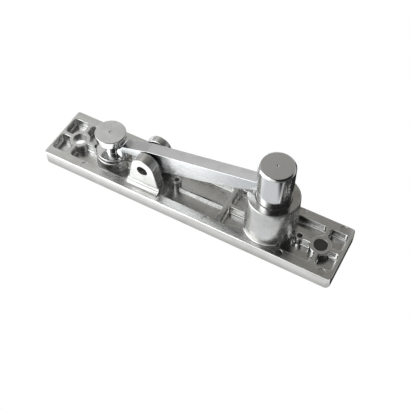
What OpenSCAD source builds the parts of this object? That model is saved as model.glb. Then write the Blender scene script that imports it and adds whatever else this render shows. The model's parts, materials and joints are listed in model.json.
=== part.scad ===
// Retractable pivot for the top of a centre-hung door: a ribbed cast plate carries a sliding pivot pin,
// a rocking lever and an adjusting screw. The outer (visible) face of the plate lies on Z = 0 and the
// mechanism stands on its hidden side. X runs along the plate towards the pivot pin, and the plate's
// middle is the origin. Drawn with the pin drawn in, flush with the outer face. Millimetres.

/* [Plate] */
// Length of the plate
plate_l = 164.6; // [160:0.2:200]
// Width of the plate
plate_w = 33; // [31:0.5:40]
// Thickness of the plate
plate_t = 8; // [7:0.1:10]
// Thickness of the floor left under the cast pockets
floor_t = 3.2; // [2.5:0.1:4]
// Radius of the plate's four corners
corner_r = 2.4; // [1:0.2:4]
// Width of the small bevel along the plate's upper edges
edge_bevel = 0.5; // [0.2:0.1:1]
// Width of the rim left between a pocket and the plate's long sides
rim_w = 5.4; // [4:0.1:7]
// Width of the wall left at the plate's ends
end_wall = 1.8; // [1.4:0.1:3]
// Thickness of the ribs that divide the pockets
rib_t = 2.4; // [1.6:0.1:3.6]
// Thickness of the rib between the pin pockets
pin_rib_t = 2; // [1.6:0.1:3.6]
// Radius of the pockets' corners
pocket_r = 1.8; // [0.8:0.1:2.4]
// Radius of the fillet round the floor of each pocket
floor_fillet = 1; // [0.4:0.1:1.4]
// Slope of the pin pockets' outer sides, which run in towards the boss
pocket_slant = 14; // [0:0.5:18]

/* [Mounting holes] */
// Distance between the two mounting holes
mount_spacing = 140.6; // [136:0.2:160]
// Diameter of the mounting holes
mount_d = 7; // [5:0.1:8]
// Outer diameter of the ring round each mounting hole
ring_d = 11.4; // [10:0.1:13]
// Diameter of the screw head's countersink in the outer face
countersink_d = 12.6; // [9:0.1:13.5]

/* [Pin boss] */
// Place of the pivot pin's axis along the plate
boss_x = 43.4; // [38:0.2:50]
// Diameter of the boss at its top
boss_d = 25.8; // [23:0.1:28]
// Height of the boss above the plate
boss_h = 23.2; // [18:0.2:30]
// How much the boss widens on radius from its top to its foot
boss_draft = 0.7; // [0:0.1:1.2]
// Radius of the fillet round the foot of the boss
boss_fillet = 1; // [0.6:0.1:3]

/* [Pivot pin] */
// Diameter of the pivot pin
pin_d = 17.6; // [14:0.1:21.4]
// Height of the pin's upper end above the plate when it is drawn in
pin_rise = 45; // [40:0.2:52]
// Bevel round the pin's upper end
pin_bevel = 0.9; // [0.4:0.1:2]
// Bevel round the working end, which finds the hole in the door
pin_lead = 1.8; // [0.6:0.1:3]

/* [Lever] */
// Width of the lever
lever_w = 6.6; // [5:0.1:9]
// Place of the lever's pivot along the plate
pivot_x = -23.6; // [-28:0.2:-20]
// Height of the lever's pivot above the plate
pivot_h = 12.4; // [11:0.1:16]
// Diameter of the pin that the lever rocks on
cross_d = 5.9; // [4:0.1:7]
// How far the lever's pin is set back from the front ear's face
pin_recess = 3; // [0.5:0.1:3.5]
// Upward slope of the lever towards the pivot pin
lever_tilt = 13.2; // [11:0.1:15]
// Radius of the lever's hub
hub_r = 6.3; // [5:0.1:7]
// Radius of the rounded end that sits in the pivot pin
nose_r = 3; // [2.6:0.1:4]
// Radius of the rounded toe that sits in the screw's groove
toe_r = 3.2; // [2.4:0.1:3.6]

/* [Ears] */
// Thickness of the front ear, which carries most of the load
ear_t = 6.1; // [4:0.1:8]
// Thickness of the rear ear
rear_ear_t = 4.3; // [3:0.1:8]
// Gap between the lever and the front ear
front_gap = 1.5; // [0.3:0.1:2.4]
// Gap between the lever and the rear ear
rear_gap = 0.5; // [0.3:0.1:2.4]
// Radius of an ear's rounded top
ear_r = 6.4; // [6:0.1:8]
// Length of an ear's foot
ear_foot = 18.4; // [16:0.2:22]
// Radius of the fillet along an ear's outer foot
ear_fillet = 3.2; // [1:0.1:3.6]
// Diameter of the post beside the ears
post_d = 5; // [4:0.1:6]
// Height of the post above the plate
post_h = 1.8; // [0:0.1:3]

/* [Adjusting screw] */
// Place of the screw's axis along the plate
screw_x = -48.7; // [-52:0.1:-46]
// Diameter of the screw's head
head_d = 16.2; // [13:0.1:18]
// Thickness of the screw's head
head_t = 4.2; // [2:0.1:5]
// Height of the groove between the head and the collar, which takes the lever's toe
groove_h = 8.6; // [7.4:0.1:12]
// Diameter of the neck that the lever's toe sits beside
neck_d = 7.6; // [6:0.1:9]
// Diameter of the collar under the neck
collar_d = 17.2; // [14:0.1:19]
// Thickness of the collar
collar_t = 2.2; // [1.4:0.1:3]
// Diameter of the thread
thread_d = 8; // [6:0.5:10]
// Hexagon key that turns the screw from the outer face, across its flats
key_af = 4; // [3:1:5]

/* [Fits] */
// Radial clearance of a shaft that slides or turns in its bore
running_fit = 0.05; // [0.02:0.01:0.1]
// Clearance of a tongue in its slot on each side
slot_fit = 0.35; // [0.2:0.05:0.6]
// Clearance between the screw's collar and the lever's toe
toe_fit = 0.3; // [0.2:0.05:0.6]
// Radial clearance of the lever's pin in the ears, which hold it
ear_fit = 0.02; // [0.01:0.01:0.04]

/* [Hidden] */
$fn = 64;
over = 1;                                         // how far a cut runs past the face that it opens
mount_x = mount_spacing / 2;
pocket_y = plate_w / 2 - rim_w;                   // outer side of every pocket
end_x = plate_l / 2 - end_wall;                   // outer end of the end pockets
boss_top = plate_t + boss_h;
boss_foot_r = boss_d / 2 + boss_draft;
pin_bore_r = pin_d / 2 + running_fit;
pin_top = plate_t + pin_rise;
pivot_z = plate_t + pivot_h;
screw_boss_step = 0.3;                            // how far the screw's boss shows beyond the collar
screw_boss_r = collar_d / 2 + screw_boss_step;
screw_bore_r = thread_d / 2 + running_fit;
ear_margin = 1;                                   // floor left between an ear's foot and the trough
ear_rise = 0.8;                                   // centre of an ear's round top above the lever's pivot
front_ear_y = -lever_w / 2 - front_gap - ear_t;   // outer face of the front ear
rear_ear_y = lever_w / 2 + rear_gap + rear_ear_t; // outer face of the rear ear
rear_recess = 0.3;                                // how far the lever's pin stops short of the rear face
cross_y = [front_ear_y + pin_recess, rear_ear_y - rear_recess];
pin_pocket_l = 9.3;                               // pockets between the cross wall and the pin's boss
pin_pocket_flare = 1.2;                           // how much wider these are beside the cross wall
wall_t = 2.5;                                     // cross wall between the trough and the pin's pockets
wall_x = boss_x - boss_foot_r - pin_pocket_l;     // side of the cross wall nearer the pin
trough_end = [pivot_x + ear_foot / 2 + ear_margin, wall_x - wall_t];
low_rib_drop = 3;                                 // how far the trough's middle rib lies below the rim
post_x = trough_end[0] + 3.2;
post_hole_d = 2.1;
post_hole_depth = 4;
dowel_d = 2.7;                                    // blind holes in the middle rib beside the rings
dowel_depth = 5.6;
dowel_x = mount_x - 11.1;
mark_d = 3.8;                                     // round marks left by the mould's ejector pins
mark_depth = 0.25;
mark_y = plate_w / 2 - rim_w / 2;
mark_x = [1.2 - dowel_x, trough_end[0] + 0.8, trough_end[1] - 3.8, boss_x + 11, end_x - 3.7];
bore_bevel = 0.4;
head_bevel = 0.4;
dot_d = 1.6;                                      // centre marks left by turning
dot_depth = 0.5;

// The lever's own outline lies along its length, with the pivot at its origin.
nose_short = 1.3;                                 // how far the nose's centre stops short of the pin's axis
neck_gap = 0.5;                                   // room between the toe and the screw's neck
nose_v = 1.8;
nose_u = (boss_x - nose_short - pivot_x + nose_v * sin(lever_tilt)) / cos(lever_tilt);
toe_v = -0.4;
toe_u = screw_x + neck_d / 2 + neck_gap + toe_r - pivot_x;

// A point of the lever's outline, carried to its place on the plate: [x, z].
function on_plate(u, v) = [
    pivot_x + u * cos(lever_tilt) - v * sin(lever_tilt),
    pivot_z + u * sin(lever_tilt) + v * cos(lever_tilt)];
nose_at = on_plate(nose_u, nose_v);
toe_at = on_plate(toe_u, toe_v);
collar_top = toe_at[1] - toe_r - toe_fit;
screw_boss_top = collar_top - collar_t - toe_fit;
head_top = collar_top + groove_h + head_t;
slot_w = lever_w + 2 * slot_fit;
boss_slot_z = pivot_z - 4.8;                      // floor of the boss's slot, under the lowered lever

// Convex outline with its corners rounded to radius r.
module rounded_outline(points, r) {
    n = len(points);
    corners = [for (i = [0 : n - 1]) let (
        p = points[i],
        back = points[(i + n - 1) % n] - p,
        on = points[(i + 1) % n] - p,
        u = back / norm(back),
        v = on / norm(on),
        half = acos(u * v) / 2,
        middle = (u + v) / norm(u + v)
    ) [p + u * r / tan(half), p + middle * r / sin(half), p + v * r / tan(half)]];
    polygon([for (corner = corners) each [corner[0], corner[2]]]);
    for (corner = corners) translate(corner[1]) circle(r);
}

// Draws its children on both sides of the plate's long middle line.
module both_sides() {
    children();
    mirror([0, 1, 0]) children();
}

// Plate with rounded corners and a small bevel along its upper edges.
module plate_blank() {
    half_l = plate_l / 2;
    half_w = plate_w / 2;
    intersection() {
        linear_extrude(plate_t) rounded_outline([[-half_l, -half_w], [half_l, -half_w],
            [half_l, half_w], [-half_l, half_w]], corner_r);
        rotate([90, 0, 90]) translate([0, 0, -half_l - over]) linear_extrude(plate_l + 2 * over)
            polygon([[-half_w, -over], [half_w, -over], [half_w, plate_t - edge_bevel],
                [half_w - edge_bevel, plate_t], [edge_bevel - half_w, plate_t],
                [-half_w, plate_t - edge_bevel]]);
        rotate([90, 0, 0]) translate([0, 0, -half_w - over]) linear_extrude(plate_w + 2 * over)
            polygon([[-half_l, -over], [half_l, -over], [half_l, plate_t - edge_bevel],
                [half_l - edge_bevel, plate_t], [edge_bevel - half_l, plate_t],
                [-half_l, plate_t - edge_bevel]]);
    }
}

// Section across a pocket from side a to side b, with a fillet along both sides of its floor.
module pocket_section(a, b) {
    f = floor_fillet;
    translate([a, floor_t + f]) square([b - a, plate_t]);
    translate([a + f, floor_t]) square([b - a - 2 * f, plate_t]);
    for (x = [a + f, b - f]) translate([x, floor_t + f]) circle(f);
}

// One pocket sunk into the plate between x0 and x1, and between y0 and y1. Its outer side y1 may slope
// inwards from x0 to x1 by an angle.
module pocket(x0, x1, y0, y1, slant = 0) {
    far_y = y1 - (x1 - x0) * tan(slant);
    intersection() {
        linear_extrude(plate_t + boss_fillet + over)
            rounded_outline([[x0, y0], [x1, y0], [x1, far_y], [x0, y1]], pocket_r);
        translate([0, y1 + over, 0]) rotate([90, 0, 0]) linear_extrude(y1 - y0 + 2 * over)
            pocket_section(x0, x1);
        translate([x0, y1, 0]) rotate([0, 0, -slant]) translate([-over, 0, 0]) rotate([90, 0, 90])
            linear_extrude(2 * (x1 - x0) + over) pocket_section(-2 * (y1 - y0), 0);
        translate([x0 - over, 0, 0]) rotate([90, 0, 90])
            linear_extrude(x1 - x0 + 2 * over) pocket_section(y0, y0 + 2 * (y1 - y0));
    }
}

// All the pockets that lighten the hidden side.
module pockets() {
    half_rib = rib_t / 2;
    difference() {
        both_sides() {
            for (s = [-1, 1]) {
                left = s * mount_x - half_rib;
                right = s * mount_x + half_rib;
                if (s < 0) pocket(-end_x, left, half_rib, pocket_y);
                if (s < 0) pocket(right, pivot_x - ear_foot / 2 - ear_margin, half_rib, pocket_y);
                if (s > 0) pocket(boss_x + boss_d / 4, left, half_rib, pocket_y);
                if (s > 0) pocket(right, end_x, half_rib, pocket_y);
            }
            pocket(wall_x, boss_x - boss_d / 4, pin_rib_t / 2, pocket_y + pin_pocket_flare, pocket_slant);
        }
        for (s = [-1, 1]) translate([s * mount_x, 0, 0]) cylinder(d = ring_d, h = boss_top);
    }
    pocket(trough_end[0], trough_end[1], -pocket_y, pocket_y);
}

// Low rib along the middle of the long trough, and the post that stands on it beside the ears.
module low_rib() {
    top = plate_t - low_rib_drop;
    translate([trough_end[0] - over, -rib_t / 2, floor_t - over])
        cube([trough_end[1] - trough_end[0] + 2 * over, rib_t, top - floor_t + over]);
    translate([post_x, 0, floor_t - over]) cylinder(d = post_d, h = plate_t + post_h - floor_t + over);
}

// Tall round boss that guides the pivot pin, a little wider at its foot.
module pin_boss() {
    bevel = 0.7;
    translate([boss_x, 0, 0]) rotate_extrude() polygon([[0, over], [boss_foot_r, over],
        [boss_foot_r, plate_t], [boss_d / 2, boss_top - bevel], [boss_d / 2 - bevel, boss_top],
        [0, boss_top]]);
}

// Concave fillet between the boss and the plate's rim.
module boss_foot_fillet() {
    translate([boss_x, 0, plate_t]) rotate_extrude() difference() {
        translate([boss_foot_r - over, 0]) square([boss_fillet + over, boss_fillet]);
        translate([boss_foot_r + boss_fillet, boss_fillet]) circle(boss_fillet);
    }
}

// Side outline of an ear, foot on the X axis: straight flanks that run into the round top.
module ear_outline() {
    centre_h = pivot_h + ear_rise;
    half = ear_foot / 2;
    side = 90 - atan2(half - ear_r, centre_h);
    shoulder = [ear_r * sin(side), centre_h + ear_r * cos(side)];
    translate([0, centre_h]) circle(ear_r);
    polygon([[-half, -over], [half, -over], [half, 0], shoulder, [-shoulder[0], shoulder[1]],
        [-half, 0]]);
}

// Ear between the lever's side and its outer face at y, with a fillet along its outer foot.
module ear(y, thickness) {
    translate([pivot_x, max(y, y + sign(-y) * thickness), plate_t]) rotate([90, 0, 0])
        linear_extrude(thickness) ear_outline();
    translate([pivot_x - ear_foot / 2, y, plate_t]) mirror([0, y < 0 ? 1 : 0, 0]) rotate([90, 0, 90])
        linear_extrude(ear_foot) difference() {
            translate([-over, -over]) square([ear_fillet + over, ear_fillet + over]);
            translate([ear_fillet, ear_fillet]) circle(ear_fillet);
        }
}

// Round boss under the screw, standing in its pocket.
module screw_boss() {
    draft = 0.4;
    foot_r = screw_boss_r + draft;
    translate([screw_x, 0, 0]) rotate_extrude() polygon([[0, over], [foot_r, over], [foot_r, floor_t],
        [screw_boss_r, screw_boss_top], [0, screw_boss_top]]);
}

// Bores, holes and slots through the casting.
module base_cuts() {
    lead = (countersink_d - mount_d) / 2;
    translate([boss_x, 0, -over]) cylinder(r = pin_bore_r, h = boss_top + 2 * over);
    translate([boss_x, 0, boss_top - bore_bevel])
        cylinder(r1 = pin_bore_r, r2 = pin_bore_r + bore_bevel + over, h = bore_bevel + over);
    translate([boss_x - boss_foot_r - over, -slot_w / 2, boss_slot_z])
        cube([boss_foot_r + over, slot_w, boss_top]);
    translate([screw_x, 0, -over]) cylinder(r = screw_bore_r, h = plate_t + boss_h);
    for (s = [-1, 1]) {
        translate([s * mount_x, 0, -over]) cylinder(d = mount_d, h = plate_t + 2 * over);
        translate([s * mount_x, 0, -over])
            cylinder(r1 = countersink_d / 2 + over, r2 = mount_d / 2, h = lead + over);
        translate([s * dowel_x, 0, plate_t - dowel_depth]) cylinder(d = dowel_d, h = dowel_depth + over);
    }
    translate([post_x, 0, plate_t + post_h - post_hole_depth])
        cylinder(d = post_hole_d, h = post_hole_depth + over);
    translate([pivot_x, plate_w / 2, pivot_z]) rotate([90, 0, 0])
        cylinder(r = cross_d / 2 + ear_fit, h = plate_w);
    for (x = mark_x, y = [-mark_y, mark_y]) translate([x, y, plate_t - mark_depth])
        cylinder(d = mark_d, h = mark_depth + over);
}

// Cast plate with its boss, ears, ribs and pockets, all one piece.
module base_casting() {
    color([0.74, 0.74, 0.73]) difference() {
        union() {
            difference() {
                union() {
                    plate_blank();
                    boss_foot_fillet();
                }
                pockets();
            }
            low_rib();
            pin_boss();
            screw_boss();
            ear(front_ear_y, ear_t);
            ear(rear_ear_y, rear_ear_t);
        }
        base_cuts();
    }
}

// Opening in the pivot pin that takes the lever's nose: flared downwards so that the lever can rock.
module pin_slot() {
    r = nose_r + slot_fit;
    roof_z = nose_at[1] + r;
    floor_z = nose_at[1] - r;
    mouth_x = boss_x - pin_d / 2 - over;
    blind_x = nose_at[0] + 2.4;
    roof_flare = 1.6;
    floor_flare = 3.4;
    translate([0, slot_w / 2, 0]) rotate([90, 0, 0]) linear_extrude(slot_w) {
        translate([blind_x, nose_at[1]]) circle(r);
        polygon([[blind_x, roof_z], [nose_at[0] - roof_flare, roof_z], [mouth_x, roof_z + roof_flare],
            [mouth_x, floor_z - floor_flare], [nose_at[0] + roof_flare, floor_z], [blind_x, floor_z]]);
    }
}

// Polished pin that slides down into the door.
module pivot_pin() {
    r = pin_d / 2;
    color([0.80, 0.80, 0.81]) difference() {
        translate([boss_x, 0, 0]) rotate_extrude() polygon([[0, 0], [r - pin_lead, 0], [r, pin_lead],
            [r, pin_top - pin_bevel], [r - pin_bevel, pin_top], [0, pin_top]]);
        pin_slot();
        translate([boss_x, 0, pin_top - dot_depth])
            cylinder(r1 = 0, r2 = dot_d / 2 + dot_d, h = 3 * dot_depth);
    }
}

// Side of the lever, drawn flat: hub, long arm to the pivot pin, short arm to the screw.
module lever_blank() {
    deep = [0.3 * nose_u, -5.9];              // the long arm is as deep as the hub up to here
    slim = [0.6 * nose_u, -4.3];              // and slims down towards the nose
    wrist = [nose_u - 16.2, -2.9];
    hollow = [toe_u + toe_r, 0.6];            // top of the hollow between the hub and the toe
    crown = [toe_u + 1.9, 4.9];               // upper corner over the toe
    bridge = [-hub_r - 2, 5.3];
    cheek = [toe_u - 0.6, toe_v + toe_r - 0.2];
    under_nose = [nose_u - 9, nose_v - nose_r];
    cylinder(r = hub_r, h = lever_w);
    translate([nose_u, nose_v, 0]) cylinder(r = nose_r, h = lever_w);
    translate([toe_u, toe_v, 0]) cylinder(r = toe_r, h = lever_w);
    linear_extrude(lever_w) polygon([[0, hub_r], [nose_u, nose_v + nose_r], [nose_u, nose_v - nose_r],
        under_nose, wrist, slim, deep, [0, -hub_r], [-hub_r, 0], hollow, [toe_u, toe_v], cheek, crown,
        bridge]);
}

// Rocking lever between the screw and the pivot pin.
module lever() {
    color([0.72, 0.73, 0.74]) difference() {
        translate([pivot_x, lever_w / 2, pivot_z]) rotate([0, -lever_tilt, 0]) rotate([90, 0, 0])
            lever_blank();
        translate([pivot_x, plate_w / 2, pivot_z]) rotate([90, 0, 0])
            cylinder(r = cross_d / 2 + running_fit, h = plate_w);
    }
}

// Pin through both ears that the lever rocks on.
module lever_pin() {
    bevel = 0.4;
    r = cross_d / 2;
    l = cross_y[1] - cross_y[0];
    color([0.45, 0.45, 0.46]) translate([pivot_x, cross_y[1], pivot_z]) rotate([90, 0, 0])
        rotate_extrude() polygon([[0, 0], [r - bevel, 0], [r, bevel], [r, l - bevel],
            [r - bevel, l], [0, l]]);
}

// Screw with a flat head, a neck for the lever's toe and a collar, turned by a key from the outer face.
module adjusting_screw() {
    tip = 0.8;
    tip_bevel = 0.6;
    key_depth = 4;
    shank_r = thread_d / 2;
    collar_r = collar_d / 2;
    head_r = head_d / 2;
    color([0.76, 0.76, 0.76]) translate([screw_x, 0, 0]) difference() {
        rotate_extrude() polygon([[0, tip], [shank_r - tip_bevel, tip], [shank_r, tip + tip_bevel],
            [shank_r, collar_top - collar_t], [collar_r, collar_top - collar_t],
            [collar_r, collar_top - head_bevel], [collar_r - head_bevel, collar_top],
            [neck_d / 2, collar_top], [neck_d / 2, head_top - head_t], [head_r, head_top - head_t],
            [head_r, head_top - head_bevel], [head_r - head_bevel, head_top], [0, head_top]]);
        translate([0, 0, tip - over]) cylinder(d = key_af / cos(30), h = key_depth + over, $fn = 6);
        translate([0, 0, head_top - dot_depth]) cylinder(r1 = 0, r2 = dot_d / 2 + dot_d, h = 3 * dot_depth);
    }
}

base_casting();
pivot_pin();
lever();
lever_pin();
adjusting_screw();
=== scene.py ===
import json
import math

import bmesh
import bpy
import numpy as np
from mathutils import Matrix, Vector

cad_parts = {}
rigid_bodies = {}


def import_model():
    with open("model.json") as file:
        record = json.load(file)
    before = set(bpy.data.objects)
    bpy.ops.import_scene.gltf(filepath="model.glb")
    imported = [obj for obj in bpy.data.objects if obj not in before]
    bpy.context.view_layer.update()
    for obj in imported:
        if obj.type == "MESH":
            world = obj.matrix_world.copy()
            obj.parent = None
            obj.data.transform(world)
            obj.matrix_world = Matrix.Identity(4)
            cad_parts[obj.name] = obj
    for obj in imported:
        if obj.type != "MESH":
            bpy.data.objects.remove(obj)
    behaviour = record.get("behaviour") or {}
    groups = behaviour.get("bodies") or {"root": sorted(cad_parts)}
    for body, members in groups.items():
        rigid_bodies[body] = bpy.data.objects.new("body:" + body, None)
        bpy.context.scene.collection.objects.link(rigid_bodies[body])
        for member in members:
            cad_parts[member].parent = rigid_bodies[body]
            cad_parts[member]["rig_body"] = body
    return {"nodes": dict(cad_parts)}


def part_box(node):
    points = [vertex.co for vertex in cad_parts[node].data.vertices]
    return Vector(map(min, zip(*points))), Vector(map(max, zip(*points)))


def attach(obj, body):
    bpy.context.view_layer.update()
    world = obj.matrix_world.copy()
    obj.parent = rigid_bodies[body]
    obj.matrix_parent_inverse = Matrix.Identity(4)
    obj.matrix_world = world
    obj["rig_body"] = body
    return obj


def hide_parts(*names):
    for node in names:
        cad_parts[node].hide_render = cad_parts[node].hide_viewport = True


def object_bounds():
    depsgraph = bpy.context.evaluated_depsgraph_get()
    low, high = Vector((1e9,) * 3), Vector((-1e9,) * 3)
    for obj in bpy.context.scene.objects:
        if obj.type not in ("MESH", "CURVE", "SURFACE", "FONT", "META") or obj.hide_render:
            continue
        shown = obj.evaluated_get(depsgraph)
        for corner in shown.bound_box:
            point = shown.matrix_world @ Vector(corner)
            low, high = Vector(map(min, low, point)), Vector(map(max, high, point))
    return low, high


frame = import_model()
cad_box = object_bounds()
MM = 0.001

# --------------------------------------------------------------------------------------------------------
# The camera looks down on the plate from the front right, from a little over twice its length away.
# Its distances, in mm, start from the middle of the plate's top face.
# --------------------------------------------------------------------------------------------------------
PLATE_TOP = 8 * MM
azimuth = math.radians(28.76)
elevation = math.radians(54.25)
away, to_right, down = 382.1, 5.57, 8.15
toward_camera = Vector((math.sin(azimuth) * math.cos(elevation),
                        -math.cos(azimuth) * math.cos(elevation),
                        math.sin(elevation)))
camera_right = Vector((math.cos(azimuth), math.sin(azimuth), 0))
camera_up = toward_camera.cross(camera_right)
camera = bpy.data.objects.new("camera", bpy.data.cameras.new("camera"))
camera.data.lens = 65.66
camera.data.clip_start = 10 * MM
camera_place = (Vector((0, 0, PLATE_TOP)) + toward_camera * away * MM
                + camera_right * to_right * MM - camera_up * down * MM)
camera.matrix_world = (Matrix.Translation(camera_place)
                       @ Matrix((camera_right, camera_up, toward_camera)).transposed().to_4x4())
bpy.context.scene.collection.objects.link(camera)
bpy.context.scene.camera = camera
bpy.context.scene.view_settings.view_transform = "Standard"


# --------------------------------------------------------------------------------------------------------
# The room is a pale studio tent, lit by a large soft window at the front left and a white board at the front,
# with a dim ceiling and a wide dark screen on the right. Bare metal shows the room, which shades the part.
# --------------------------------------------------------------------------------------------------------
def add(tree, kind, inputs=None, **settings):
    """Adds a shader node with its settings, and links each named or numbered input or gives it a value."""
    node = tree.nodes.new("ShaderNode" + kind)
    for name, value in settings.items():
        setattr(node, name, value)
    for name, value in (inputs or {}).items():
        if isinstance(value, bpy.types.NodeSocket):
            tree.links.new(value, node.inputs[name])
        else:
            node.inputs[name].default_value = value
    return node


def mixed(tree, factor, first, second):
    """Colour that goes from the first to the second as the factor goes from 0 to 1."""
    inputs = {"Factor": factor, "A": first, "B": second}
    return add(tree, "Mix", inputs, data_type="RGBA").outputs["Result"]


def ramp(tree, value, start, end, low=0.0, high=1.0):
    """Number that eases from low to high as the value goes from start to end."""
    inputs = {"Value": value, "From Min": start, "From Max": end, "To Min": low, "To Max": high}
    return add(tree, "MapRange", inputs, interpolation_type="SMOOTHSTEP").outputs["Result"]


# Direction, inner and outer angle in degrees, and colour of each patch, laid over those before it
ROOM = [
    ((-0.54, 0.46, 0.71), 4, 16, (0.86, 0.86, 0.85)),      # white board, rear left
    ((-0.08, 0.54, 0.84), 2, 20, (0.24, 0.23, 0.21)),      # dim ceiling, rear
    ((0.05, -0.45, 0.88), 12, 24, (0.14, 0.14, 0.14)),     # dim ceiling, front
    ((0.62, -0.05, 0.75), 36, 48, (0.02, 0.02, 0.02)),     # dark screen, right
    ((0.36, -0.52, 0.78), 16, 24, (0.015, 0.015, 0.015)),  # dark screen, front right
    ((0.10, 0.02, 0.99), 6, 18, (0.10, 0.10, 0.10)),       # dim ceiling, overhead
    ((-0.05, -0.87, 0.48), 12, 24, (1.0, 1.0, 1.0)),       # white board, front
    ((-0.78, -0.45, 0.36), 16, 24, (1.8, 1.84, 1.86)),     # window's lower corner, left
    ((-0.55, -0.60, 0.58), 18, 26, (3.0, 3.07, 3.1)),      # window, front left
]
world = bpy.data.worlds.new("studio")
world.use_nodes = True
bpy.context.scene.world = world
room = world.node_tree
room.nodes.clear()
direction = add(room, "TexCoord").outputs["Generated"]
colour = add(room, "RGB").outputs[0]
colour.default_value = (0.50, 0.50, 0.49, 1)
for way, inner, outer, shade in ROOM:
    nearness = add(room, "VectorMath", {0: direction, 1: Vector(way).normalized()}, operation="DOT_PRODUCT")
    border, core = math.cos(math.radians(outer)), math.cos(math.radians(inner))
    patch = ramp(room, nearness.outputs["Value"], border, core)
    colour = mixed(room, patch, colour, (*shade, 1))
seen_first = add(room, "LightPath").outputs["Is Camera Ray"]
colour = mixed(room, seen_first, colour, (1, 1, 1, 1))
add(room, "OutputWorld", {"Surface": add(room, "Background", {"Color": colour}).outputs[0]})


def card(name, corners_mm, level_mm):
    """Flat emissive card on the floor between two opposite corners, with its own node tree to fill in."""
    (x0, y0), (x1, y1) = corners_mm
    mesh = bpy.data.meshes.new(name)
    corners = ((x0, y0), (x1, y0), (x1, y1), (x0, y1))
    mesh.from_pydata([(x * MM, y * MM, level_mm * MM) for x, y in corners], [], [(0, 1, 2, 3)])
    material = bpy.data.materials.new(name)
    material.use_nodes = True
    material.node_tree.nodes.clear()
    mesh.materials.append(material)
    piece = bpy.data.objects.new(name, mesh)
    piece.visible_shadow = False
    bpy.context.scene.collection.objects.link(piece)
    return piece, material.node_tree


def glowing(tree, colour):
    """Ends a tree in light of one colour or of a colour socket."""
    add(tree, "OutputMaterial", {"Surface": add(tree, "Emission", {"Color": colour}).outputs[0]})


# Floor, plain white to the camera. What the metal sees of it is painted light and shade: a painted soft
# shadow, grey close to the plate, painted window light, brighter towards the left, and painted shadow, dark
# past the plate's right end.
_, paper = card("floor", ((-3000, -3000), (3000, 3000)), -0.2)
place = add(paper, "TexCoord").outputs["Object"]
half_plate = (Vector(cad_box[1]) - Vector(cad_box[0])) / 2
half_plate.z = 1  # so large that height adds nothing to the distance from the plate
folded = add(paper, "VectorMath", {0: place}, operation="ABSOLUTE").outputs[0]
outside = add(paper, "VectorMath", {0: folded, 1: half_plate}, operation="SUBTRACT").outputs[0]
outside = add(paper, "VectorMath", {0: outside, 1: (0, 0, 0)}, operation="MAXIMUM").outputs[0]
distance = add(paper, "VectorMath", {0: outside}, operation="LENGTH").outputs["Value"]
# Painted soft shadow of the plate on the floor, grey close round it
shadow_by_plate = mixed(paper, ramp(paper, distance, 0, 5 * MM), (0.60, 0.60, 0.60, 1), (1.0, 1.0, 1.0, 1))
along = add(paper, "SeparateXYZ", {0: place}).outputs["X"]
# Painted window light towards the left, then painted shadow past the plate's right end
window_light_and_shadow = mixed(paper, ramp(paper, along, -25 * MM, 20 * MM), (1.9, 1.94, 1.96, 1), (0.74, 0.76, 0.78, 1))
window_light_and_shadow = mixed(paper, ramp(paper, along, 66 * MM, 80 * MM), window_light_and_shadow, (0.02, 0.02, 0.02, 1))
glow = mixed(paper, ramp(paper, distance, 4 * MM, 10 * MM), shadow_by_plate, window_light_and_shadow)
glow = mixed(paper, add(paper, "LightPath").outputs["Is Camera Ray"], glow, (1, 1, 1, 1))
glowing(paper, glow)

# Painted shadows on the floor: cards that only the metal sees, dark right of and behind the plate and grey
# behind its left part, and the painted shadow under the plate that shows through its holes:
# name, corners and level in mm, colour, and whether the camera sees it
for name, corners, level, shade, seen in (
        # Painted shadow of the plate to its right and behind it, and painted shade behind its left part
        ("right_shadow_card", ((82.4, -14), (140, 80)), -0.1, (0.02, 0.02, 0.02), False),
        ("rear_shadow_card", ((10, 17), (84, 80)), -0.1, (0.02, 0.02, 0.02), False),
        ("rear_left_shade_card", ((-100, 17), (10, 80)), -0.1, (0.40, 0.43, 0.46), False),
        # Painted shadow under the plate, seen through its holes
        ("shade", ((-71.5, -14), (80, 14)), -0.05, (0.035, 0.033, 0.03), True)):
    piece, tree = card(name, corners, level)
    glowing(tree, (*shade, 1))
    piece.visible_camera = seen

# --------------------------------------------------------------------------------------------------------
# Base casting: plate, pockets, ribs, ears and bosses, die cast in one piece of zinc alloy and left bright.
# The rims are ground flat afterwards; the edges are rounded by the die and by tumbling.
# --------------------------------------------------------------------------------------------------------


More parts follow.
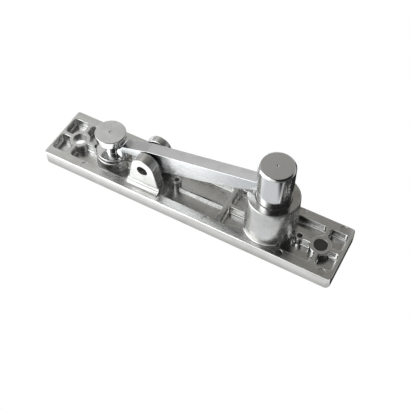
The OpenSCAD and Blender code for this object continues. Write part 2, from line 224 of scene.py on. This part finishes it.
def softened(node, name, width, least=65, flat=()):
    """Copy of a CAD node, merged. Its outward edges that turn more than least degrees are rounded by
    width(x, y, z) in mm, and the shading rounds those that turn less. A width below 0 leaves an edge sharp.
    What lies in the box flat, its (low, high) in mm along each axis, is pressed down to the bottom of it."""
    source = frame["nodes"][node]
    mesh = source.data.copy()
    mesh.name = name
    mesh.materials.clear()
    work = bmesh.new()
    work.from_mesh(mesh)
    bmesh.ops.remove_doubles(work, verts=work.verts, dist=0.02 * MM)
    bmesh.ops.dissolve_limit(work, angle_limit=math.radians(0.4), verts=work.verts, edges=work.edges)
    for point in work.verts:
        if flat and all(low < at / MM < high for at, (low, high) in zip(point.co, flat)):
            point.co.z = flat[2][0] * MM
    weight = work.edges.layers.float.new("bevel_weight_edge")
    for edge in work.edges:
        turn = math.degrees(edge.calc_face_angle(0))
        radius = width(*((edge.verts[0].co + edge.verts[1].co) / (2 * MM)))
        if edge.is_convex and turn > least:
            edge[weight] = max(0, radius)
        most = 65 if edge.is_convex and radius >= 0 else 35
        edge.smooth = turn < most or edge[weight] > 0
    work.to_mesh(mesh)
    work.free()
    mesh.shade_smooth()
    piece = bpy.data.objects.new(name, mesh)
    bpy.context.scene.collection.objects.link(piece)
    # A weight of 1 rounds an edge by this width, so the weights are the radii in mm
    rounding = piece.modifiers.new("edges", "BEVEL")
    rounding.width = 1 * MM
    rounding.segments = 3
    rounding.limit_method = "WEIGHT"
    rounding.use_clamp_overlap = False
    rounding.loop_slide = False
    rounding.miter_outer = "MITER_ARC"
    piece.modifiers.new("shading", "WEIGHTED_NORMAL").keep_sharp = True
    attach(piece, source["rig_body"])
    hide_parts(node)
    return piece


def metal(name, colour):
    """Bare metal with a node tree to work on: the tree, its surface node and its Object coordinates."""
    material = bpy.data.materials.new(name)
    material.use_nodes = True
    tree = material.node_tree
    surface = tree.nodes["Principled BSDF"]
    surface.inputs["Base Color"].default_value = (*colour, 1)
    surface.inputs["Metallic"].default_value = 1
    return material, tree, surface, add(tree, "TexCoord").outputs["Object"]


def grain(tree, place, size_mm, detail=2):
    """Noise from 0 to 1 with a grain of (x, y, z) mm."""
    scale = [1 / (size * MM) for size in size_mm]
    stretched = add(tree, "Mapping", {"Vector": place, "Scale": scale}).outputs[0]
    return add(tree, "TexNoise", {"Vector": stretched, "Scale": 1, "Detail": detail}).outputs["Fac"]


def raised(tree, height, depth_mm, under=None, strength=1.0):
    """Normal of a surface raised by the height, 0 to 1, times the depth, on top of another such normal."""
    inputs = {"Height": height, "Distance": depth_mm * MM, "Strength": strength}
    if under:
        inputs["Normal"] = under
    return add(tree, "Bump", inputs).outputs["Normal"]


# Where the casting's holes, lever pin and ejector marks lie along it, and the lever pin's level, in mm
MOUNT_X, DOWEL_X, BOSS_X, SCREW_X = 70.3, 59.2, 43.4, -48.7
LEVER_X, LEVER_Z = -23.6, 20.4
MARKS_X = (-58, -12.6, 14.2, 54.4, 76.8)


def casting_edge(x, y, z):
    """Radius in mm that an edge of the casting with its middle at (x, y, z) is rounded to. It is 0 where the
    CAD has a fillet of its own, and below 0 at the plate's corners."""
    top = z > 7
    foot = 7 < z < 12
    if z < 0.5:
        return 0.3  # outer face
    if foot and abs(x - LEVER_X) < 14 and 3 < abs(y) < 12.5:
        return 0  # feet of the ears
    if foot and math.hypot(x - BOSS_X, y) < 14.4:
        return 0  # foot of the boss
    if foot and 55 < x < 61 and abs(y) < 2:
        return 0  # between the boss and the front dowel hole
    if top and abs(x) > 79.5 and abs(y) > 13.7:
        return -1  # plate's corners
    if z > 9 and math.hypot(x - LEVER_X, z - LEVER_Z) < 3.6:
        return 0.12  # lever pin's holes
    if z > 9:
        return 0.55 if x < 0 else 0.45  # ears and boss
    if math.hypot(abs(x) - DOWEL_X, y) < 2:
        return 0.12  # dowel holes
    if top and 11.5 < abs(y) < 16 and min(abs(x - mark) for mark in MARKS_X) < 2.2:
        return 0.12  # ejector marks
    to_hole = min(math.hypot(abs(x) - MOUNT_X, y), math.hypot(x - SCREW_X, y), math.hypot(x - BOSS_X, y))
    return 0.2 if to_hole < 4.2 else 0.5  # through holes, then rims and ribs


# The boss's small fillet ends beside the dowel hole, so that the hole's own rim can meet the boss
fillet_end = ((56.7, 58.1), (-1.3, 1.3), (8.03, 9.1))
casting = softened("base_casting", "casting_body", casting_edge, flat=fillet_end)
clean, stained = (0.68, 0.68, 0.67), (0.58, 0.57, 0.545)
cast_zinc, tree, surface, place = metal("cast_zinc", clean)
along, _, height = add(tree, "SeparateXYZ", {0: place}).outputs
# 1 on the rims, which all lie at one level, and 0 elsewhere
ground = add(tree, "Math", {0: height, 1: PLATE_TOP, 2: 0.06 * MM}, operation="COMPARE").outputs[0]
lumps = grain(tree, place, (4.5, 3.5, 4), 0)
streaks = grain(tree, place, (9, 0.3, 0.5), 3)
stains = grain(tree, place, (14, 9, 12), 4)
# The skin is duller above the plate and towards its left end, and the end of the boss is turned bright
BOSS_TOP = 31.2 * MM
as_cast = ramp(tree, lumps, 0.3, 0.7, 0.15, 0.24)
satin = add(tree, "Math", {0: ramp(tree, height, PLATE_TOP, PLATE_TOP + 4 * MM, 0, 0.09),
                           1: ramp(tree, along, -20 * MM, 40 * MM, 0.12, 0)}, operation="MAXIMUM").outputs[0]
as_cast = add(tree, "Math", {0: as_cast, 1: satin}, operation="ADD").outputs[0]
turned_face = ramp(tree, height, BOSS_TOP - 0.2 * MM, BOSS_TOP - 0.1 * MM, 0, 0.12)
as_cast = add(tree, "Math", {0: as_cast, 1: turned_face}, operation="SUBTRACT").outputs[0]
worked = ramp(tree, streaks, 0.3, 0.7, 0.22, 0.34)
finish = add(tree, "Mix", {"Factor": ground, "A": as_cast, "B": worked}).outputs["Result"]
tree.links.new(finish, surface.inputs["Roughness"])
shade = mixed(tree, ramp(tree, stains, 0.45, 0.75), (*clean, 1), (*stained, 1))
tree.links.new(shade, surface.inputs["Base Color"])
# The ground rims are flat, and what stands above them is nearly smooth
risen = ramp(tree, height, PLATE_TOP, PLATE_TOP + MM, 0, 0.8)
smooth = add(tree, "Math", {0: ground, 1: risen}, operation="MAXIMUM").outputs[0]
depth = add(tree, "Mix", {"Factor": smooth, "A": lumps, "B": 0.5}).outputs["Result"]
shape = raised(tree, depth, 0.02)
shape = raised(tree, streaks, 0.0015, shape, ground)
tree.links.new(shape, surface.inputs["Normal"])
casting.data.materials.append(cast_zinc)

# Rims that carry the two dowel holes, which are wider than the ribs that they lie in: a closed profile of
# (radius, height) in mm, carried round an upright axis
profile = np.array([(2.25, 2.9), (2.25, 7.8), (2.19, 7.97), (2.05, 8.05),
                    (1.55, 8.05), (1.4, 7.97), (1.32, 7.8), (1.32, 2.9)])
sides = 48
angle = np.arange(sides) * 2 * np.pi / sides
for name, rim_x in (("front_dowel_rim", DOWEL_X), ("rear_dowel_rim", -DOWEL_X)):
    across, level = profile[:, :1], profile[:, 1:]
    points = np.stack([rim_x + across * np.cos(angle), across * np.sin(angle), level + 0 * angle], axis=-1)
    index = np.arange(points.size // 3).reshape(points.shape[:2])
    outer, inner = index, np.roll(index, -1, axis=0)
    quads = np.stack([outer, np.roll(outer, -1, axis=1), np.roll(inner, -1, axis=1), inner], axis=-1)
    mesh = bpy.data.meshes.new(name)
    mesh.from_pydata((points.reshape(-1, 3) * MM).tolist(), [], quads.reshape(-1, 4).tolist())
    mesh.shade_smooth()
    mesh.materials.append(cast_zinc)
    rim = bpy.data.objects.new(name, mesh)
    bpy.context.scene.collection.objects.link(rim)
    rim.modifiers.new("shading", "WEIGHTED_NORMAL")
    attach(rim, "casting")

# --------------------------------------------------------------------------------------------------------
# Pivot pin: turned from bar steel, ground and polished round its side and left fine-faced on its end.
# It slides in the tall boss, and the lever's nose works in a slot in its left side.
# --------------------------------------------------------------------------------------------------------
pin = softened("pivot_pin", "sliding_pin", lambda x, y, z: 0.2, 40)
pin_x = sum(corner.x for corner in map(Vector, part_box("pivot_pin"))) / 2
pin_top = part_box("pivot_pin")[1][2]
polished, tree, surface, place = metal("polished_steel", (0.72, 0.72, 0.72))
centred = add(tree, "Mapping", {"Vector": place, "Location": (-pin_x, 0, 0)}).outputs[0]


def turned_rings(tree, centred, pitch_mm):
    """Fine rings round an upright axis, as a turning tool leaves them: the sine of the distance from it."""
    flat = add(tree, "VectorMath", {0: centred, 1: (1, 1, 0)}, operation="MULTIPLY").outputs[0]
    reach = add(tree, "VectorMath", {0: flat}, operation="LENGTH").outputs["Value"]
    turns = add(tree, "Math", {0: reach, 1: 2 * math.pi / (pitch_mm * MM)}, operation="MULTIPLY").outputs[0]
    return add(tree, "Math", {0: turns}, operation="SINE").outputs[0]


height = add(tree, "SeparateXYZ", {0: place}).outputs["Z"]
end_face = ramp(tree, height, pin_top - 0.1 * MM, pin_top - 0.05 * MM)
haze = ramp(tree, grain(tree, place, (3, 3, 6), 4), 0.35, 0.7, 0.11, 0.17)
finish = add(tree, "Mix", {"Factor": end_face, "A": haze, "B": 0.3}).outputs["Result"]
tree.links.new(finish, surface.inputs["Roughness"])
rings = raised(tree, turned_rings(tree, centred, 0.35), 0.0012)
tree.links.new(rings, surface.inputs["Normal"])
pin.data.materials.append(polished)

# --------------------------------------------------------------------------------------------------------
# Rocking lever: a flat steel bar, blanked and milled, then bright plated. Its hub turns between the two ears,
# its nose works in the pin's slot and its toe in the groove under the screw's head.
# --------------------------------------------------------------------------------------------------------
lever = softened("lever", "rocking_lever", lambda x, y, z: 0.3)
milled, tree, surface, place = metal("milled_steel", (0.67, 0.675, 0.68))
streaks = grain(tree, place, (7, 0.35, 0.6), 3)
smears = grain(tree, place, (9, 5, 3), 4)
satin = ramp(tree, streaks, 0.3, 0.7, 0.20, 0.30)
handled = ramp(tree, smears, 0.4, 0.7, -0.04, 0.06)
finish = add(tree, "Math", {0: satin, 1: handled}, operation="ADD").outputs[0]
tree.links.new(finish, surface.inputs["Roughness"])
tree.links.new(raised(tree, streaks, 0.006, raised(tree, smears, 0.03)), surface.inputs["Normal"])
lever.data.materials.append(milled)

# --------------------------------------------------------------------------------------------------------
# Lever pin: plain dark steel pin through both ears, set a little back in them. Its near black colour is
# partly painted shade, for the dark of the deep holes round its ends.
# The lever rocks on it.
# --------------------------------------------------------------------------------------------------------
axle = softened("lever_pin", "lever_axle", lambda x, y, z: 0.25)
# Near black: the steel's own dark colour together with painted shade for the holes it sits back in
dark, tree, surface, place = metal("dark_steel", (0.02, 0.02, 0.021))
blotches = grain(tree, place, (0.8, 0.8, 0.8), 4)
tree.links.new(ramp(tree, blotches, 0.3, 0.7, 0.28, 0.45), surface.inputs["Roughness"])
axle.data.materials.append(dark)

# --------------------------------------------------------------------------------------------------------
# Adjusting screw: head, neck, collar and threaded shank, turned from one bar. A hexagon key turns it from the
# outer face, and its collar rests on the boss round its bore.
# --------------------------------------------------------------------------------------------------------
low, high = (Vector(corner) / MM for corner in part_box("adjusting_screw"))
screw_x = (low.x + high.x) / 2
# In mm: r is a radius, t a thickness, and groove the height of the neck
head_r, head_t = 8.1, 4.2
neck_r, groove = 3.8, 8.6
collar_r, collar_t = 8.6, 2.2
shank_r, pitch, thread_depth = 4.0, 1.25, 0.6
key_half, key_depth = 2.05, 4.0
head_base = high.z - head_t
collar_top = head_base - groove
collar_base = collar_top - collar_t


def rounded_profile(corners, steps=5):
    """Profile through (radius, height, rounding) corners: each corner becomes a quadratic curve that leaves
    its two sides at the rounding's distance from it."""
    points = np.array([corner[:2] for corner in corners], float)
    reach = np.array([corner[2] for corner in corners])[:, None]
    back = np.roll(points, 1, axis=0) - points
    ahead = np.roll(points, -1, axis=0) - points
    back /= np.linalg.norm(back, axis=1, keepdims=True)
    ahead /= np.linalg.norm(ahead, axis=1, keepdims=True)
    t = np.linspace(0, 1, steps)[None, :, None]
    curves = points[:, None] + (1 - t) ** 2 * (reach * back)[:, None] + t ** 2 * (reach * ahead)[:, None]
    curves[0], curves[-1] = points[0], points[-1]
    profile = curves.reshape(-1, 2)
    keep = np.append(True, np.linalg.norm(np.diff(profile, axis=0), axis=1) > 1e-6)
    return profile[keep]


profile = rounded_profile([
    (0, low.z + key_depth, 0), (key_half, low.z + key_depth, 0.1), (key_half, low.z + 0.3, 0.05),
    (key_half + 0.45, low.z, 0.05), (shank_r - 0.7, low.z, 0.1), (shank_r, low.z + 0.7, 0.1),
    (shank_r, collar_base, 0.1), (collar_r, collar_base, 0.25), (collar_r, collar_top, 0.5),
    (neck_r, collar_top, 0.3), (neck_r, head_base, 0.3), (head_r, head_base, 0.3), (head_r, high.z, 0.5),
    (0.9, high.z, 0.15), (0, high.z - 0.3, 0)])
# Rows close enough together for the thread to keep its form
spans = np.maximum(1, np.ceil(np.abs(np.diff(profile[:, 1])) / (pitch / 10))).astype(int)
spans[(profile[:-1, 1] > collar_base) | (profile[:-1, 0] < shank_r - 0.01)] = 1
steps = np.concatenate([i + np.arange(n) / n for i, n in enumerate(spans)] + [[len(profile) - 1]])
radius, level = (np.interp(steps, np.arange(len(profile)), profile[:, k]) for k in (0, 1))
sides = 144
angle = np.arange(sides) * 2 * np.pi / sides
radius, level, turn = radius[:, None], level[:, None], angle[None, :]
# Thread: a triangle wave of height less one pitch a turn, with flattened crests and roots. It is full between
# the shank's end and the collar, and runs in and out over these lengths
run_in, run_out = 0.8, 0.6
from_end, to_collar = level - low.z - 0.5, collar_base - level - 0.6
in_thread = np.clip(from_end / run_in, 0, 1) * np.clip(to_collar / run_out, 0, 1)
in_thread = in_thread * (np.abs(radius - shank_r) < 0.01)
wave = np.abs(2 * np.mod(level / pitch - turn / (2 * np.pi), 1) - 1)
# Key socket: the distance to a hexagon's side grows as 1 / cos of the angle from the side's middle
to_side = np.mod(turn, np.pi / 3) - np.pi / 6
in_socket = (np.abs(radius - key_half) < 0.12) & (level < low.z + key_depth + 0.01) & (level > low.z - 0.01)
cut = thread_depth * in_thread * np.clip(wave * 1.4 - 0.2, 0, 1)
across = np.where(in_socket, radius / np.cos(to_side), radius - cut)
grid = np.stack([screw_x + across * np.cos(turn), across * np.sin(turn), level + 0 * turn], axis=-1)


def revolved(name, grid):
    """Closed skin over a grid of rows round an axis, from the bottom row to the top one. The first and last
    rows have no radius, and each becomes one point."""
    rows, turns = grid.shape[:2]
    points = np.concatenate([grid[:1, 0], grid[1:-1].reshape(-1, 3), grid[-1:, 0]]) * MM
    index = 1 + np.arange((rows - 2) * turns).reshape(rows - 2, turns)
    ahead = np.roll(index, -1, axis=1)
    quads = np.stack([index[:-1], ahead[:-1], ahead[1:], index[1:]], axis=-1).reshape(-1, 4)
    foot = np.stack([np.zeros(turns, int), ahead[0], index[0]], axis=-1)
    crown = np.stack([index[-1], ahead[-1], np.full(turns, len(points) - 1)], axis=-1)
    mesh = bpy.data.meshes.new(name)
    mesh.from_pydata(points.tolist(), [], foot.tolist() + quads.tolist() + crown.tolist())
    mesh.shade_smooth()
    piece = bpy.data.objects.new(name, mesh)
    bpy.context.scene.collection.objects.link(piece)
    piece.modifiers.new("shading", "WEIGHTED_NORMAL")
    return piece


screw = revolved("screw_body", grid)
turned, tree, surface, place = metal("turned_steel", (0.68, 0.68, 0.68))
centred = add(tree, "Mapping", {"Vector": place, "Location": (-screw_x * MM, 0, 0)}).outputs[0]
haze = ramp(tree, grain(tree, place, (4, 4, 2), 4), 0.3, 0.7, 0.20, 0.30)
height = add(tree, "SeparateXYZ", {0: place}).outputs["Z"]
head_face = ramp(tree, height, (high.z - 0.1) * MM, (high.z - 0.03) * MM)
finish = add(tree, "Mix", {"Factor": head_face, "A": 0.14, "B": haze}).outputs["Result"]
tree.links.new(finish, surface.inputs["Roughness"])
tree.links.new(raised(tree, turned_rings(tree, centred, 0.5), 0.0018), surface.inputs["Normal"])
screw.data.materials.append(turned)
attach(screw, "screw")
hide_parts("adjusting_screw")
